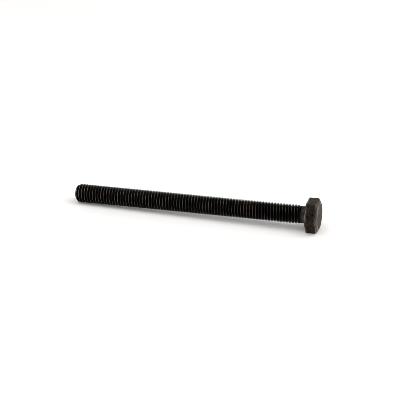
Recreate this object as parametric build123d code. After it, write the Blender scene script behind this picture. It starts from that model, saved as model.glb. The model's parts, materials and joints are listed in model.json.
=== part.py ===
from build123d import *
import os
from math import atan2, cos, degrees, pi, radians, tan

# A hex head screw, M8 x 1.25 x 100, threaded up to its head. All sizes are in millimetres.
# It is one forged and thread-rolled piece. The thread stands here as its crest cylinder.

# Driving sizes
length_under_head = 100.35
thread_diameter = 7.80
neck_diameter = 7.15
neck_length = 2.2
neck_fillet = 0.4
tip_chamfer = 1.05
head_across_flats = 12.75
head_height = 5.2
head_end_diameter = 10.95
head_edge_rounding = 0.4
head_sides = 6

# Angles of the standard form, in degrees
tip_chamfer_angle = 45.0
thread_flank_angle = 30.0
head_chamfer_angle = 30.0

# What follows from them
thread_radius = thread_diameter / 2
neck_radius = neck_diameter / 2
tip_chamfer_length = tip_chamfer / tan(radians(tip_chamfer_angle))
neck_start = length_under_head - neck_length
run_out = (thread_radius - neck_radius) * tan(radians(thread_flank_angle))
flat_distance = head_across_flats / 2
corner_distance = flat_distance / cos(pi / head_sides)
head_end = length_under_head + head_height


def shank():
    """The blank, turned about X from the tip's end up to the middle of the head, which it joins."""
    joined_end = length_under_head + head_height / 2
    fillet_radius = neck_radius + neck_fillet
    with BuildSketch(Plane.XY) as section:
        with BuildLine():
            Polyline(
                (joined_end, fillet_radius),
                (joined_end, 0),
                (0, 0),
                (0, thread_radius - tip_chamfer),
                (tip_chamfer_length, thread_radius),
                (neck_start - run_out, thread_radius),
                (neck_start, neck_radius),
                (length_under_head - neck_fillet, neck_radius),
            )
            RadiusArc(
                (length_under_head - neck_fillet, neck_radius),
                (length_under_head, fillet_radius),
                -neck_fillet,
            )
            Line((length_under_head, fillet_radius), (joined_end, fillet_radius))
        make_face()
    return revolve(section.sketch, Axis.X)


def head():
    """The hexagon, with two flats level, cut by the outer chamfer's cone and eased at its other edges."""
    across = Plane((length_under_head, 0, 0), x_dir=(0, 1, 0), z_dir=(1, 0, 0))
    hexagon = across * RegularPolygon(radius=flat_distance, side_count=head_sides, major_radius=False)
    prism = extrude(hexagon, head_height)
    bearing_edges = prism.faces().sort_by(Axis.X)[0].edges()
    corner_edges = prism.edges().filter_by(Axis.X)
    eased = fillet(corner_edges + bearing_edges, head_edge_rounding)
    return eased & chamfer_cone()


def chamfer_cone():
    """The turned envelope that leaves the end face a circle and slopes back over the six corners."""
    end_radius = head_end_diameter / 2
    slope_length = (corner_distance - end_radius) * tan(radians(head_chamfer_angle))
    with BuildSketch(Plane.XY) as section:
        with BuildLine():
            Polyline(
                (length_under_head, 0),
                (head_end, 0),
                (head_end, end_radius),
                (head_end - slope_length, corner_distance),
                (length_under_head, corner_distance),
                close=True,
            )
        make_face()
    return revolve(section.sketch, Axis.X)


def at_rest(screw):
    """The screw lying on the floor z = 0: its tip and the bearing-side edge of one flat both touch."""
    contact_span = length_under_head + head_edge_rounding - tip_chamfer_length
    rise = degrees(atan2(flat_distance - thread_radius, contact_span))
    laid = Rot(0, -rise, 0) * screw
    box = laid.bounding_box()
    return Pos(-box.center().X, -box.center().Y, -box.min.Z) * laid


hex_head_screw = at_rest(shank() + head())

os.makedirs("parts", exist_ok=True)
export_step(hex_head_screw, "parts/hex_head_screw.step")
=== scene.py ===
import json
from bisect import bisect_right
from math import atan2, cos, floor, hypot, pi, radians, sin, sqrt, tan, tau

import bmesh
import bpy
from mathutils import Matrix, Vector


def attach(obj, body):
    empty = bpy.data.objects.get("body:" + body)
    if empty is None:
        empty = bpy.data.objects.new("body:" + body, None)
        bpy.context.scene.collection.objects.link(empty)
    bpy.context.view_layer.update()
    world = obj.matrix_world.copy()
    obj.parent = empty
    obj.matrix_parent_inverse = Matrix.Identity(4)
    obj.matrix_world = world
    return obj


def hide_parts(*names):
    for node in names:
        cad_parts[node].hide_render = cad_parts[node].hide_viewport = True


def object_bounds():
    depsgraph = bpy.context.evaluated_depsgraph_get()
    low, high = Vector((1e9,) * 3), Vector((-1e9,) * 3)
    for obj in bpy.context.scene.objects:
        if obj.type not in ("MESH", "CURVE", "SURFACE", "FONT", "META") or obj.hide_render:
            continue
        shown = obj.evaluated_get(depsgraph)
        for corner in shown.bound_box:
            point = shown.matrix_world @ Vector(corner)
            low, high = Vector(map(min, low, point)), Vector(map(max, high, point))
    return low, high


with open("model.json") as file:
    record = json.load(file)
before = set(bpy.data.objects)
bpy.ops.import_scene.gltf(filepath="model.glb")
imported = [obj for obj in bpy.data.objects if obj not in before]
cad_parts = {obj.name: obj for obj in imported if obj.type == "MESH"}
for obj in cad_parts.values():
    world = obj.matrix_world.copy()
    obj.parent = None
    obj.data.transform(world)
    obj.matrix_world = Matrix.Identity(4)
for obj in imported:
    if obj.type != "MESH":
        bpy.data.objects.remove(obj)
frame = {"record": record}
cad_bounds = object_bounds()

# ---- Thread ----
# M8 x 1.25, right-hand, rolled between flat dies out of a blank a little thinner than its crests.
# It is carbon steel, blackened and oiled, and the film is rubbed thin along the crests.
# Along is measured from the tip's end towards the head, and angles go round the screw's axis.
mm = 0.001
mounts = {mount["name"]: mount for mount in frame["record"]["mounts"]}
under_head = 100.35 * mm
neck_start = under_head - 2.2 * mm
neck_radius = 3.575 * mm
crest_radius = mounts["thread"]["dims"]["r_mm"] * mm
pitch = 1.25 * mm
pitch_radius = 3.55 * mm
flank_angle = radians(30)
crest_rounding = 0.05 * mm
root_rounding = 0.18 * mm
run_out = 1.3 * pitch
# where round the screw the helix begins, as a share of a turn
thread_start = 0.10
tip_chamfer = 1.05 * mm
tip_radius = crest_radius - tip_chamfer

columns = 84
column_angles = [tau * column / columns for column in range(columns)]
root_middle = pitch_radius - pitch / 4 / tan(flank_angle) + root_rounding / sin(flank_angle)
crest_corner = pitch / 4 - (crest_radius - pitch_radius) * tan(flank_angle)
crest_middle = crest_corner - crest_rounding * (1 - sin(flank_angle)) / cos(flank_angle)

half_section = []
for eased in (90, 60, 30):
    # the crest's corner is an arc from the flat top, at 90 degrees, down to the flank, at 30
    step = crest_middle + crest_rounding * cos(radians(eased))
    half_section.append((step, crest_radius - crest_rounding * (1 - sin(radians(eased)))))
for opened in (60, 30, 0):
    step = pitch / 2 - root_rounding * sin(radians(opened))
    half_section.append((step, root_middle - root_rounding * cos(radians(opened))))
section = [(-step, reach) for step, reach in half_section[2::-1]] + half_section
section += [(pitch - step, reach) for step, reach in half_section[4:2:-1]]

# the film is rubbed most on the crest's flat and not at all below its corner; near the tip it is barer, a
# painted highlight
crest_wear = (1.0, 0.7, 0.0)
section_wear = crest_wear[::-1] + crest_wear + (0.0,) * (len(section) - 2 * len(crest_wear))
sheen_at_tip = 1.2
sheen_fade_to_head = 0.65


def left_by_run_out(along):
    """Share of the thread's height that is left as it runs out towards the neck."""
    left = min(max((neck_start - along) / run_out, 0.0), 1.0)
    return left * left * (3 - 2 * left)


def cut_down(along, reach):
    """Radius of the rolled surface once the run-out and the tip's chamfer have taken their share."""
    faded = neck_radius + (reach - neck_radius) * left_by_run_out(along)
    return min(faded, tip_radius + max(along, 0.0))


steel = bmesh.new()
worn_and_sheen = steel.verts.layers.float.new("worn_and_sheen")


def surface_point(along, reach, angle, wear_and_sheen):
    point = steel.verts.new((along, reach * cos(angle), reach * sin(angle)))
    point[worn_and_sheen] = wear_and_sheen
    return point


# the helix runs on past both ends and is cut square there later
first_turn = -2
last_turn = int(neck_start / pitch) + 2
rows = []
# painted highlight: the crests' bare steel is raised near the tip and lowered near the head
for turn in range(first_turn, last_turn + 1):
    for (step, reach), wear_and_sheen in zip(section, section_wear):
        row = []
        for angle in column_angles:
            along = (turn + angle / tau + thread_start) * pitch + step
            sheen_here = sheen_at_tip - sheen_fade_to_head * along / under_head
            point_wear_and_sheen = wear_and_sheen * left_by_run_out(along) * sheen_here
            row.append(surface_point(along, cut_down(along, reach), angle, point_wear_and_sheen))
        rows.append(row)
per_turn = len(section)
for lower, upper, lower_next, upper_next in zip(rows, rows[1:], rows[per_turn:], rows[per_turn + 1:]):
    # the last column meets the first one a turn further on
    lower_round = lower + [lower_next[0]]
    upper_round = upper + [upper_next[0]]
    for column in range(columns):
        steel.faces.new((lower_round[column], lower_round[column + 1],
                         upper_round[column + 1], upper_round[column]))

# the finish: a few helpers, three effects that neck and head share too, and then the thread's own values


def add_node(tree, kind, settings, sockets):
    """A node with its settings made, and each input linked to a socket or set to a value."""
    made = tree.nodes.new("ShaderNode" + kind)
    for setting, value in settings.items():
        setattr(made, setting, value)
    for place, value in sockets.items():
        if isinstance(value, bpy.types.NodeSocket):
            tree.links.new(value, made.inputs[place])
        else:
            made.inputs[place].default_value = value
    return made


def calculate(tree, operation, first, second=0.0, third=0.0):
    return add_node(tree, "Math", {"operation": operation}, {0: first, 1: second, 2: third}).outputs[0]


def mix_colour(tree, share, first, second):
    made = add_node(tree, "Mix", {"data_type": "RGBA"}, {0: share, 6: first, 7: second})
    return made.outputs[2]


def mix_value(tree, share, first, second):
    return add_node(tree, "Mix", {"data_type": "FLOAT"}, {0: share, 2: first, 3: second}).outputs[0]


def spread(tree, value, low, high, to_low=0.0, to_high=1.0):
    """The value between low and high, stretched smoothly over a new range."""
    made = add_node(tree, "MapRange", {"interpolation_type": "SMOOTHSTEP"},
                    {0: value, 1: low, 2: high, 3: to_low, 4: to_high})
    return made.outputs[0]


def noise(tree, place, size, detail=2.0, roughness=0.5):
    made = add_node(tree, "TexNoise", {},
                    {"Vector": place, "Scale": size, "Detail": detail, "Roughness": roughness})
    return made.outputs["Fac"]


def stretched(tree, place, along, across):
    """The place on the screw, drawn out or pressed together along its axis and across it."""
    made = add_node(tree, "VectorMath", {"operation": "MULTIPLY"}, {0: place, 1: (along, across, across)})
    return made.outputs[0]


def effect(name, inputs, outputs):
    """An empty shader node group with its named sockets, and its two end nodes."""
    group = bpy.data.node_groups.new(name, "ShaderNodeTree")
    for label, kind in inputs:
        group.interface.new_socket(label, in_out="INPUT", socket_type="NodeSocket" + kind)
    for label, kind in outputs:
        group.interface.new_socket(label, in_out="OUTPUT", socket_type="NodeSocket" + kind)
    return group, group.nodes.new("NodeGroupInput"), group.nodes.new("NodeGroupOutput")


def place_effect(tree, group, sockets):
    return add_node(tree, "Group", {"node_tree": group}, sockets)


# the black film: cloudy from bath to bath, browner in patches, and duller where it is thick
black_film, given, made = effect(
    "black_film",
    (("Place", "Vector"), ("Cloud size", "Float"), ("Thick film", "Color"), ("Thin film", "Color"),
     ("Brown film", "Color"), ("Brown share", "Float"), ("Roughness", "Float")),
    (("Colour", "Color"), ("Roughness", "Float")))
cloud = noise(black_film, given.outputs["Place"], given.outputs["Cloud size"], 4.0, 0.62)
patch = noise(black_film, stretched(black_film, given.outputs["Place"], 0.11, 0.2), 1.0, 2.0)
film = mix_colour(black_film, spread(black_film, cloud, 0.33, 0.67),
                  given.outputs["Thick film"], given.outputs["Thin film"])
browned = calculate(black_film, "MULTIPLY",
                    spread(black_film, patch, 0.42, 0.62), given.outputs["Brown share"])
film = mix_colour(black_film, browned, film, given.outputs["Brown film"])
dulled = calculate(black_film, "MULTIPLY_ADD", cloud, 0.24, -0.12)
film_roughness = calculate(black_film, "ADD", dulled, given.outputs["Roughness"])
black_film.links.new(film, made.inputs["Colour"])
black_film.links.new(film_roughness, made.inputs["Roughness"])

# rubbing: takes the film off edges and crests unevenly, here more and there less, with a few bare specks;
# it also lays the painted highlights on the neck, the bearing edge and the crests near the tip
rubbing_and_sheen, given, made = effect(
    "rubbing_and_sheen",
    (("Place", "Vector"), ("Worn and sheen", "Float"), ("Patch size", "Float"), ("Amount", "Float"),
     ("Specks", "Float")),
    (("Bare and sheen", "Float"),))
drawn_out = stretched(rubbing_and_sheen, given.outputs["Place"], 1.0, 0.45)
uneven = noise(rubbing_and_sheen, drawn_out, given.outputs["Patch size"], 3.0)
uneven = spread(rubbing_and_sheen, uneven, 0.35, 0.68, 0.12, 1.0)
rubbed = calculate(rubbing_and_sheen, "MULTIPLY", given.outputs["Worn and sheen"], uneven)
rubbed = calculate(rubbing_and_sheen, "MULTIPLY", rubbed, given.outputs["Amount"])
speck = spread(rubbing_and_sheen, noise(rubbing_and_sheen, given.outputs["Place"], 1.9, 0.0), 0.745, 0.785)
speck = calculate(rubbing_and_sheen, "MULTIPLY", speck, given.outputs["Specks"])
speck = calculate(rubbing_and_sheen, "MULTIPLY", speck, given.outputs["Worn and sheen"])
rubbing_and_sheen.links.new(calculate(rubbing_and_sheen, "MAXIMUM", rubbed, speck), made.inputs["Bare and sheen"])

# grain: the fine pitting of rolled and forged steel, as a height
fine_grain, given, made = effect(
    "fine_grain", (("Place", "Vector"), ("Grain size", "Float"), ("Pits", "Float")), (("Height", "Float"),))
fine = noise(fine_grain, given.outputs["Place"], given.outputs["Grain size"], 3.0, 0.6)
coarse = noise(fine_grain, given.outputs["Place"], 1.3, 2.0)
pits = spread(fine_grain, coarse, 0.28, 0.4, -1.0, 0.0)
pits = calculate(fine_grain, "MULTIPLY", pits, given.outputs["Pits"])
fine_grain.links.new(calculate(fine_grain, "ADD", fine, pits), made.inputs["Height"])


def steel_finish(name):
    """A new material with its shader, and the place and the wear, with its painted highlights, that the
    surface carries.
    """
    made = bpy.data.materials.new(name)
    made.use_nodes = True
    tree = made.node_tree
    place = add_node(tree, "Attribute", {"attribute_name": "place"}, {}).outputs["Vector"]
    wear_and_sheen = add_node(tree, "Attribute", {"attribute_name": "worn_and_sheen"}, {}).outputs["Fac"]
    return made, tree, tree.nodes["Principled BSDF"], place, wear_and_sheen


def finish_with(tree, shader, colour, roughness, metallic, height, depth):
    tree.links.new(colour, shader.inputs["Base Color"])
    tree.links.new(roughness, shader.inputs["Roughness"])
    tree.links.new(metallic, shader.inputs["Metallic"])
    bump = add_node(tree, "Bump", {}, {"Height": height, "Distance": depth, "Strength": 1.0})
    tree.links.new(bump.outputs["Normal"], shader.inputs["Normal"])


thread_finish, tree, shader, place, wear_and_sheen = steel_finish("blackened_thread")
film = place_effect(tree, black_film, {
    "Place": place, "Cloud size": 0.8, "Thick film": (0.0005, 0.0005, 0.0005, 1),
    "Thin film": (0.001, 0.0009, 0.0008, 1), "Brown film": (0.004, 0.0018, 0.001, 1), "Brown share": 0.7,
    "Roughness": 0.4})
bare_and_sheen = place_effect(tree, rubbing_and_sheen, {
    "Place": place, "Worn and sheen": wear_and_sheen, "Patch size": 0.55, "Amount": 0.56, "Specks": 0.9}).outputs["Bare and sheen"]
grain = place_effect(tree, fine_grain, {"Place": place, "Grain size": 9.0, "Pits": 0.4}).outputs["Height"]
finish_with(tree, shader,
            mix_colour(tree, bare_and_sheen, film.outputs["Colour"], (0.16, 0.148, 0.135, 1)),
            mix_value(tree, bare_and_sheen, film.outputs["Roughness"], 0.2),
            calculate(tree, "MULTIPLY", bare_and_sheen, 0.9),
            grain, 0.012 * mm)
shader.inputs["Specular IOR Level"].default_value = 0.02

# ---- Tip ----
# The tip is turned off at 45 degrees through the first turns of the thread, to a small flat end.
# The helix is cut square just inside the chamfer, and plain rings carry it on to the end's middle.

# how near counts as the same: for a point, for a station along the screw, and in shares of a column
tiny = 1e-9
same_station = 1e-7
same_column = 1e-3


def cut_square(along, keep_above):
    """Cuts the thread at one station and returns the loop of the cut, one point on each column."""
    whole = steel.verts[:] + steel.edges[:] + steel.faces[:]
    bmesh.ops.bisect_plane(steel, geom=whole, dist=tiny, plane_co=(along, 0, 0), plane_no=(1, 0, 0),
                           clear_inner=keep_above, clear_outer=not keep_above)
    rim = [vert for vert in steel.verts if vert.is_boundary and abs(vert.co.x - along) < same_station]
    loop = [None] * columns
    spare = []
    for vert in rim:
        column = atan2(vert.co.z, vert.co.y) % tau / tau * columns
        nearest = round(column) % columns
        if abs(column - round(column)) < same_column:
            loop[nearest] = vert
        else:
            spare.append((vert, nearest))
    bmesh.ops.weld_verts(steel, targetmap={vert: loop[nearest] for vert, nearest in spare})
    return loop


def carry_on(loop, rings):
    """Builds faces from a loop through rings of (along at an angle, radius at an angle, angles, wear and
    painted highlight).
    """
    for along_at, reach_at, angles, wear_and_sheen in rings:
        ring = [surface_point(along_at(angle), reach_at(angle), angle, wear_and_sheen) for angle in angles]
        for column in range(columns):
            after = (column + 1) % columns
            steel.faces.new((loop[column], loop[after], ring[after], ring[column]))
        loop = ring
    return loop


def plain_ring(along, reach, wear_and_sheen=0.0):
    return (lambda angle: along, lambda angle: reach, column_angles, wear_and_sheen)


def close_end(loop, along):
    centre = surface_point(along, 0, 0, 0.0)
    for column in range(columns):
        steel.faces.new((loop[column], loop[(column + 1) % columns], centre))


tip_cut = 0.13 * mm
tip_easing = 0.05 * mm
inner_ring_shares = (0.9, 0.5)
tip_rings = [plain_ring(tip_easing, tip_radius + tip_easing), plain_ring(0, tip_radius - tip_easing, 0.5)]
tip_rings += [plain_ring(0, tip_radius * share) for share in inner_ring_shares]
close_end(carry_on(cut_square(tip_cut, True), tip_rings), 0)

# ---- Neck ----
# The neck is the bare blank between the last turn and the head, drawn smooth before the heading.
# A small fillet takes it into the head's bearing face.
neck_fillet = 0.4 * mm
# painted highlight: the neck is made barer and lighter towards the head and its fillet
neck_rings = [plain_ring(neck_start + neck_fillet, neck_radius, 0.2)]
for bent in (0, 30, 60, 90):
    # the fillet bends from the neck out to the bearing face; the further it bends the barer and lighter it
    # is made, a painted highlight
    along = under_head - neck_fillet * (1 - sin(radians(bent)))
    reach = neck_radius + neck_fillet * (1 - cos(radians(bent)))
    neck_rings.append(plain_ring(along, reach, 0.6 + bent / 225))
neck_loop = carry_on(cut_square(neck_start, False), neck_rings)

neck_finish, tree, shader, place, wear_and_sheen = steel_finish("blackened_neck")
film = place_effect(tree, black_film, {
    "Place": place, "Cloud size": 0.9, "Thick film": (0.002, 0.0017, 0.0015, 1),
    "Thin film": (0.009, 0.0075, 0.006, 1), "Brown film": (0.012, 0.008, 0.0055, 1), "Brown share": 0.5,
    "Roughness": 0.4})
# the bare steel on the neck is a painted highlight that brightens it towards the head
bare_and_sheen = place_effect(tree, rubbing_and_sheen, {
    "Place": place, "Worn and sheen": wear_and_sheen, "Patch size": 0.5, "Amount": 0.9, "Specks": 0.5}).outputs["Bare and sheen"]
drawn = noise(tree, stretched(tree, place, 9.0, 0.6), 1.0, 2.0)
finish_with(tree, shader,
            mix_colour(tree, bare_and_sheen, film.outputs["Colour"], (0.16, 0.145, 0.122, 1)),
            mix_value(tree, bare_and_sheen, film.outputs["Roughness"], 0.32),
            calculate(tree, "MULTIPLY", bare_and_sheen, spread(tree, drawn, 0.3, 0.7, 0.7, 1.0)),
            drawn, 0.01 * mm)
shader.inputs["Specular IOR Level"].default_value = 0.05

# ---- Head ----
# The head is forged to six flats, eased all round its bearing face and turned off at 30 degrees at
# its outer end. Scale from the forging leaves it duller than the thread, and its edges are rubbed; the
# lighter bearing edge is partly a painted highlight.
bearing_centre = Vector(mounts["bearing_face"]["pos_m"])
end_centre = Vector(mounts["hex_drive"]["pos_m"])
out_of_head = Vector(mounts["hex_drive"]["axis"]).normalized()
head_end = under_head + (end_centre - bearing_centre).length
flat_distance = 6.375 * mm
edge_rounding = 0.4 * mm
end_radius = 5.475 * mm
chamfer_slope = tan(radians(30))
chamfer_easing = 0.07 * mm
head_sides = 6
corner_angle = radians(360 / head_sides)


def hexagon(angle, inset):
    """Distance from the axis to the hexagon set in by inset, its corners rounded by what is left."""
    apothem = flat_distance - inset
    rounding = max(edge_rounding - inset, 0.0)
    off_flat = abs((angle % corner_angle) - corner_angle / 2)
    off_corner = corner_angle / 2 - off_flat
    arc_distance = (apothem - rounding) / cos(corner_angle / 2)
    if apothem * tan(off_flat) <= (apothem - rounding) * tan(corner_angle / 2) + tiny:
        return apothem / cos(off_flat)
    return arc_distance * cos(off_corner) + sqrt(rounding ** 2 - (arc_distance * sin(off_corner)) ** 2)


def head_ring(along, inset, wear_and_sheen=0.0):
    return (lambda angle: along, lambda angle: hexagon(angle, inset), head_angles, wear_and_sheen)


def chamfer_ring(inward, drop, wear_and_sheen=0.0):
    """A ring that follows the curved line where the chamfer meets the flats, moved in and down."""
    def along_at(angle):
        return head_end - (hexagon(angle, 0) - inward - end_radius) * chamfer_slope - drop
    return (along_at, lambda angle: hexagon(angle, 0) - inward, head_angles, wear_and_sheen)


def end_ring(along, reach, wear_and_sheen=0.0):
    return (lambda angle: along, lambda angle: reach, head_angles, wear_and_sheen)


# columns crowd into each rounded corner and share the flat evenly between them
per_flat = columns // head_sides
corner_half = atan2(edge_rounding * tan(corner_angle / 2), flat_distance / cos(corner_angle / 2))
corner_shares = (0.0, 0.5, 1.0)
head_angles = []
for side in range(head_sides):
    start = side * corner_angle
    head_angles += [start + corner_half * share for share in corner_shares]
    between = per_flat - 2 * len(corner_shares) + 1
    for column in range(1, between + 1):
        share = column / (between + 1)
        head_angles.append(start + corner_half + share * (corner_angle - 2 * corner_half))
    head_angles += [start + corner_angle - corner_half * share for share in corner_shares[:0:-1]]

# the bearing face, its rounded edge, and a short way up the flats, where the rubbing fades out; the lighter
# rounded edge is partly wear, partly a painted highlight
past_fillet = 1.2
head_rings = [end_ring(under_head, neck_radius + neck_fillet * past_fillet)]
for bent, wear_and_sheen in ((0, 0.2), (22, 0.5), (45, 0.8), (68, 0.7), (90, 0.5)):
    along = under_head + edge_rounding * (1 - cos(radians(bent)))
    head_rings.append(head_ring(along, edge_rounding * (1 - sin(radians(bent))), wear_and_sheen))
for roundings_up, wear_and_sheen in ((1.6, 0.2), (2.4, 0.0)):
    head_rings.append(head_ring(under_head + edge_rounding * roundings_up, 0, wear_and_sheen))

# the chamfer's two edges, both eased and rubbed, and the flat end inside them
for inward, drop, wear_and_sheen in ((0, 2, 0.0), (0, 1, 0.5), (0.2, 0.2, 1.0), (1, 0, 0.5), (2, 0, 0.0)):
    head_rings.append(chamfer_ring(chamfer_easing * inward, chamfer_easing * drop, wear_and_sheen))
end_edge_wear = 0.6
head_rings.append(end_ring(head_end - chamfer_easing * chamfer_slope, end_radius + chamfer_easing,
                           end_edge_wear))
head_rings.append(end_ring(head_end, end_radius - chamfer_easing, end_edge_wear))
head_rings += [end_ring(head_end, end_radius * share) for share in inner_ring_shares]
close_end(carry_on(neck_loop, head_rings), head_end)

head_finish, tree, shader, place, wear_and_sheen = steel_finish("blackened_head")
film = place_effect(tree, black_film, {
    "Place": place, "Cloud size": 1.0, "Thick film": (0.0015, 0.0012, 0.001, 1),
    "Thin film": (0.028, 0.022, 0.0175, 1), "Brown film": (0.028, 0.0195, 0.0142, 1), "Brown share": 0.7,
    "Roughness": 0.5})
bare_and_sheen = place_effect(tree, rubbing_and_sheen, {
    "Place": place, "Worn and sheen": wear_and_sheen, "Patch size": 0.6, "Amount": 0.8, "Specks": 0.6}).outputs["Bare and sheen"]
grain = place_effect(tree, fine_grain, {"Place": place, "Grain size": 4.0, "Pits": 1.2}).outputs["Height"]
# the chamfer and the end are turned, so the film there is thinner and follows the tool's rings, which
# fade towards the middle; their lighter colour is partly that thinner film and partly painted light on the
# end, which faces the lamp past the head
turning_begins = head_end - 1.5 * mm
turning_full = head_end - 0.4 * mm
from_axis = add_node(tree, "VectorMath", {"operation": "LENGTH"}, {0: stretched(tree, place, 0.0, 1.0)})
tool_rings = noise(tree, from_axis.outputs["Value"], 2.6, 3.0, 0.65)
station = add_node(tree, "SeparateXYZ", {}, {0: place}).outputs["X"]
turned = spread(tree, station, turning_begins / mm, turning_full / mm)
ring_depth = spread(tree, from_axis.outputs["Value"], 1.0, 4.8, 0.45, 1.0)
thin_film_and_painted_light = calculate(tree, "MULTIPLY", turned, ring_depth)
thin_film_and_painted_light = calculate(tree, "MULTIPLY", thin_film_and_painted_light, spread(tree, tool_rings, 0.3, 0.7, 0.2, 1.0))
# lighter colour of the turned faces: thinner film and, in part, a painted brightening
film_colour = mix_colour(tree, thin_film_and_painted_light, film.outputs["Colour"], (0.06, 0.0465, 0.038, 1))
relief = calculate(tree, "ADD", grain, calculate(tree, "MULTIPLY", thin_film_and_painted_light, 0.5))
finish_with(tree, shader,
            mix_colour(tree, bare_and_sheen, film_colour, (0.3, 0.27, 0.235, 1)),
            mix_value(tree, bare_and_sheen, film.outputs["Roughness"], 0.36),
            calculate(tree, "MULTIPLY", bare_and_sheen, 0.9),
            relief, 0.07 * mm)
shader.inputs["Specular IOR Level"].default_value = 0.03

# ---- Screw laid down ----
# Thread, tip, neck and head are one piece of steel, so they make one mesh and one object. It lies on
# one flat of its head and on its tip. Its surface is unrolled for the finish: the thread in three
# strips, and the neck, the flats and the round faces below them.
thread_part, neck_part, head_part = 0, 1, 2
bmesh.ops.recalc_face_normals(steel, faces=steel.faces[:])
place_layer = steel.verts.layers.float_vector.new("place")
for vert in steel.verts:
    vert[place_layer] = vert.co / mm

section_round = section + [(section[0][0] + pitch, section[0][1])]
section_steps = [step for step, reach in section_round]
section_run = [0.0]
for (step, reach), (next_step, next_reach) in zip(section_round, section_round[1:]):
    section_run.append(section_run[-1] + hypot(next_step - step, next_reach - reach))


def unrolled(along, angle):
    """Distance over the crests and roots, from the start of the thread to this place on it."""
    turns = (along / pitch - angle / tau - thread_start) - section_steps[0] / pitch
    step = (turns - floor(turns)) * pitch + section_steps[0]
    station = min(bisect_right(section_steps, step), len(section_steps) - 1)
    share = (step - section_steps[station - 1]) / (section_steps[station] - section_steps[station - 1])
    within = section_run[station - 1] + share * (section_run[station] - section_run[station - 1])
    return floor(turns) * section_run[-1] + within


# where each stretch lies on the unrolled sheet, whose sides are 1 long
strips = 3
strip_turns = 27
strip_left = 0.01
strip_length = 0.97
strip_height = 0.26
strip_gap = 0.008
strip_scale = strip_length / (strip_turns * section_run[-1])
disc_width = 0.19
disc_scale = disc_width / (2 * flat_distance / cos(corner_angle / 2))
bearing_disc = (0.3, 0.1)
end_disc = (0.1, 0.1)
tip_disc = (0.46, 0.06)
flats_corner = (0.42, 0.125)
flats_scale = 0.56 / tau
height_scale = 0.07 / (head_end - under_head)
neck_corner = (0.56, 0.02)
neck_scale = 0.4 / tau

# how squarely a face has to look along the axis to count as part of the end or of the bearing face
facing_out = 0.7
facing_shank = -0.8
bearing_plane = under_head - 0.001 * mm

bake_map = steel.loops.layers.uv.new("OFBake")
for face in steel.faces:
    face.smooth = True
    middle = face.calc_center_median()
    around = atan2(middle.z, middle.y) % tau
    if middle.x < tip_cut:
        face.material_index = thread_part
        disc = tip_disc
    elif middle.x < bearing_plane:
        face.material_index = thread_part if middle.x < neck_start else neck_part
        disc = None
    else:
        face.material_index = head_part
        disc = None
        if face.normal.x > facing_out:
            disc = end_disc
        elif face.normal.x < facing_shank:
            disc = bearing_disc
    turn = (middle.x / pitch - around / tau - thread_start) - section_steps[0] / pitch
    strip = min(max(floor((turn - first_turn) / strip_turns), 0), strips - 1)
    for loop in face.loops:
        spot = loop.vert.co
        angle = around + (atan2(spot.z, spot.y) - around + pi) % tau - pi
        if disc:
            on_sheet = (disc[0] + spot.y * disc_scale, disc[1] + spot.z * disc_scale)
        elif middle.x < neck_start:
            run = unrolled(spot.x, angle) - (first_turn + strip * strip_turns) * section_run[-1]
            on_sheet = (strip_left + run * strip_scale,
                        1 - (strip + 1) * strip_height + angle / tau * (strip_height - strip_gap))
        elif middle.x < bearing_plane:
            on_sheet = (neck_corner[0] + angle * neck_scale,
                        neck_corner[1] + (spot.x - neck_start) * height_scale)
        else:
            on_sheet = (flats_corner[0] + angle * flats_scale,
                        flats_corner[1] + (spot.x - under_head) * height_scale)
        loop[bake_map].uv = on_sheet

screw_mesh = bpy.data.meshes.new("hex_head_screw_steel")
steel.to_mesh(screw_mesh)
steel.free()
sharp_angle = radians(40)
screw_mesh.set_sharp_from_angle(angle=sharp_angle)
for finish in (thread_finish, neck_finish, head_finish):
    screw_mesh.materials.append(finish)

across = Vector((0, 1, 0))
screw_axes = Matrix((out_of_head, across, out_of_head.cross(across))).transposed().to_4x4()
screw_mesh.transform(Matrix.Translation(bearing_centre - out_of_head * under_head) @ screw_axes)
screw = bpy.data.objects.new("screw", screw_mesh)
bpy.context.scene.collection.objects.link(screw)
even_shading = screw.modifiers.new("even_shading", "WEIGHTED_NORMAL")
even_shading.keep_sharp = True
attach(screw, "root")
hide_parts("hex_head_screw")

# ---- Table top ----
# A plain table top laid with matt white paper. It lies at the height the screw rests on, and is wide
# enough to reach past the view on every side.
table_half = 3.0
table_mesh = bpy.data.meshes.new("table_top")
table_mesh.from_pydata([(-table_half, -table_half, 0), (table_half, -table_half, 0),
                        (table_half, table_half, 0), (-table_half, table_half, 0)], [], [(0, 1, 2, 3)])
table = bpy.data.objects.new("table_top", table_mesh)
bpy.context.scene.collection.objects.link(table)
white_paper = bpy.data.materials.new("white_paper")
white_paper.use_nodes = True
paper = white_paper.node_tree.nodes["Principled BSDF"]
paper.inputs["Base Color"].default_value = (0.9, 0.9, 0.9, 1)
paper.inputs["Roughness"].default_value = 0.9
paper.inputs["Specular IOR Level"].default_value = 0.1
table_mesh.materials.append(white_paper)

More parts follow.
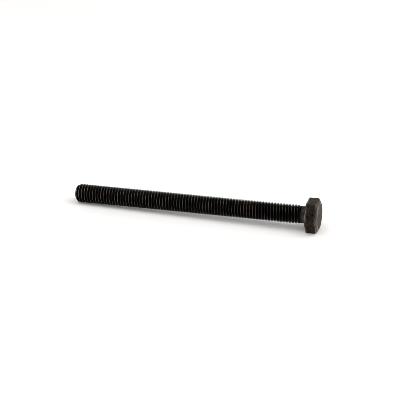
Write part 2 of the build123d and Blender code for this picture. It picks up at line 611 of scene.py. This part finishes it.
# ---- Light ----
# One softbox hangs over the screw, a little towards its tip and its front, and one over the far side of
# its head. A third stands low, well past the head. All three are a little warm. The room is light all
# round, brightest behind the screw, and its ceiling is dark at the back.
world = bpy.data.worlds.new("studio")
world.use_nodes = True
tree = world.node_tree
direction = add_node(tree, "TexCoord", {}, {}).outputs["Generated"]
split = add_node(tree, "SeparateXYZ", {}, {0: direction})
behind = spread(tree, split.outputs["Y"], -0.7, 0.7)
above = spread(tree, split.outputs["Z"], 0.3, 0.8)
walls = mix_colour(tree, behind, (0.85, 0.85, 0.85, 1), (1.85, 1.83, 1.8, 1))
ceiling = mix_colour(tree, behind, (0.85, 0.85, 0.85, 1), (0.14, 0.14, 0.14, 1))
room = mix_colour(tree, above, walls, ceiling)
tree.links.new(room, tree.nodes["Background"].inputs["Color"])
bpy.context.scene.world = world


def softbox(name, place, size, power):
    lamp = bpy.data.lights.new(name, "AREA")
    lamp.shape = "SQUARE"
    lamp.size = size
    lamp.energy = power
    lamp.color = (1.0, 0.97, 0.94)
    holder = bpy.data.objects.new(name, lamp)
    holder.location = place
    holder.rotation_euler = (-Vector(place)).to_track_quat("-Z", "Y").to_euler()
    bpy.context.scene.collection.objects.link(holder)


softbox("overhead", (-0.15, -0.16, 0.75), 0.45, 1.6)
softbox("behind_the_head", (0.36, 0.08, 0.65), 0.4, 1.5)
softbox("past_the_head", (1.1, 0.0, 0.4), 0.4, 4)

# ---- Camera ----
# The camera stands in front of the screw and a little to the head's side, and looks down on it
# through a long lens, aimed just past the screw's middle.
middle = (Vector(cad_bounds[0]) + Vector(cad_bounds[1])) / 2
aim = middle + Vector((1.89, 0, 0.85)) * mm
azimuth = radians(16.43)
elevation = radians(24.19)
distance = 0.550
camera = bpy.data.objects.new("camera", bpy.data.cameras.new("camera"))
back = Vector((sin(azimuth) * cos(elevation), -cos(azimuth) * cos(elevation), sin(elevation)))
camera.location = aim + back * distance
camera.rotation_euler = (pi / 2 - elevation, 0, azimuth)
camera.data.sensor_width = 36
camera.data.lens = 118.75
bpy.context.scene.collection.objects.link(camera)
bpy.context.scene.camera = camera
# plain colours, and little softening, so that the fine thread stays crisp
bpy.context.scene.view_settings.view_transform = "Standard"
bpy.context.scene.cycles.filter_width = 0.6
